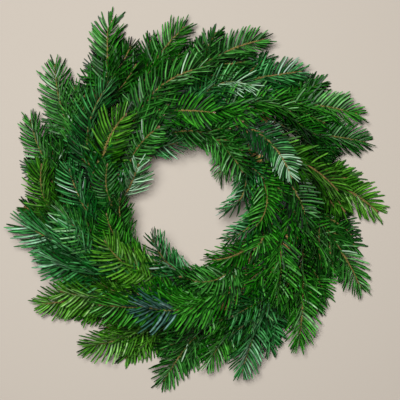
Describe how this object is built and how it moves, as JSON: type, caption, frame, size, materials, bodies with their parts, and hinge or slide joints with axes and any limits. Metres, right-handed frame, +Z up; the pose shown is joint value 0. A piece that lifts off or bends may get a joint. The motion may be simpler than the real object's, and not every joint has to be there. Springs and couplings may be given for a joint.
{
  "type": "advent wreath",
  "caption": "Round evergreen wreath of overlapping fir sprigs that all point the same way round, wire-bound in layers over a flat-bottomed straw ring with an open centre.",
  "frame": {"origin": "centre of the bounding box at the height of the straw ring's flat underside, which rests on the table", "axes": "+Z up out of the wreath's open face; the sprigs point clockwise seen from +Z; +Y is the top of the wreath as it is usually seen"},
  "size_m": [0.4236, 0.4226, 0.0865],
  "materials": {
    "straw": "matt dry straw",
    "jute_thread": "matt twisted thread",
    "green_wire": "dark green lacquered florist's wire",
    "fir_deep": "satin dark green needles on a brown twig",
    "fir_old": "satin very dark green needles on a brown twig",
    "fir_moss": "satin grey-green needles on a brown twig",
    "fir_fresh": "satin yellow-green needles on a brown twig",
    "fir_blue": "satin blue-green needles on a brown twig",
    "fir_slate": "satin slate-green needles on a brown twig",
    "fir_silver": "green needles, many rolled to their pale underside"
  },
  "bodies": {
    "root": {"straw_ring": "straw", "straw_thread": "jute_thread", "binding_wire": "green_wire", "outer_sprig_01": "fir_blue", "outer_sprig_02": "fir_deep", "outer_sprig_03": "fir_old", "outer_sprig_04": "fir_fresh", "outer_sprig_05": "fir_moss", "outer_sprig_06": "fir_deep", "outer_sprig_07": "fir_blue", "outer_sprig_08": "fir_deep", "outer_sprig_09": "fir_moss", "outer_sprig_10": "fir_fresh", "outer_sprig_11": "fir_fresh", "outer_sprig_12": "fir_blue", "outer_sprig_13": "fir_fresh", "outer_sprig_14": "fir_moss", "outer_sprig_15": "fir_moss", "outer_sprig_16": "fir_deep", "outer_sprig_17": "fir_deep", "outer_sprig_18": "fir_moss", "crown_sprig_01": "fir_deep", "crown_sprig_02": "fir_silver", "crown_sprig_03": "fir_fresh", "crown_sprig_04": "fir_old", "crown_sprig_05": "fir_deep", "crown_sprig_06": "fir_deep", "crown_sprig_07": "fir_deep", "crown_sprig_08": "fir_slate", "crown_sprig_09": "fir_deep", "crown_sprig_10": "fir_fresh", "crown_sprig_11": "fir_blue", "crown_sprig_12": "fir_moss", "crown_sprig_13": "fir_blue", "crown_sprig_14": "fir_blue", "crown_sprig_15": "fir_fresh", "crown_sprig_16": "fir_moss", "crown_sprig_17": "fir_deep", "crown_sprig_18": "fir_silver", "inner_sprig_01": "fir_moss", "inner_sprig_02": "fir_blue", "inner_sprig_03": "fir_deep", "inner_sprig_04": "fir_blue", "inner_sprig_05": "fir_deep", "inner_sprig_06": "fir_deep", "inner_sprig_07": "fir_moss", "inner_sprig_08": "fir_old", "inner_sprig_09": "fir_blue", "inner_sprig_10": "fir_fresh", "inner_sprig_11": "fir_deep", "inner_sprig_12": "fir_moss", "inner_sprig_13": "fir_old", "inner_sprig_14": "fir_silver", "inner_sprig_15": "fir_moss", "inner_sprig_16": "fir_blue", "inner_sprig_17": "fir_old", "inner_sprig_18": "fir_moss"}
  },
  "joints": []
}
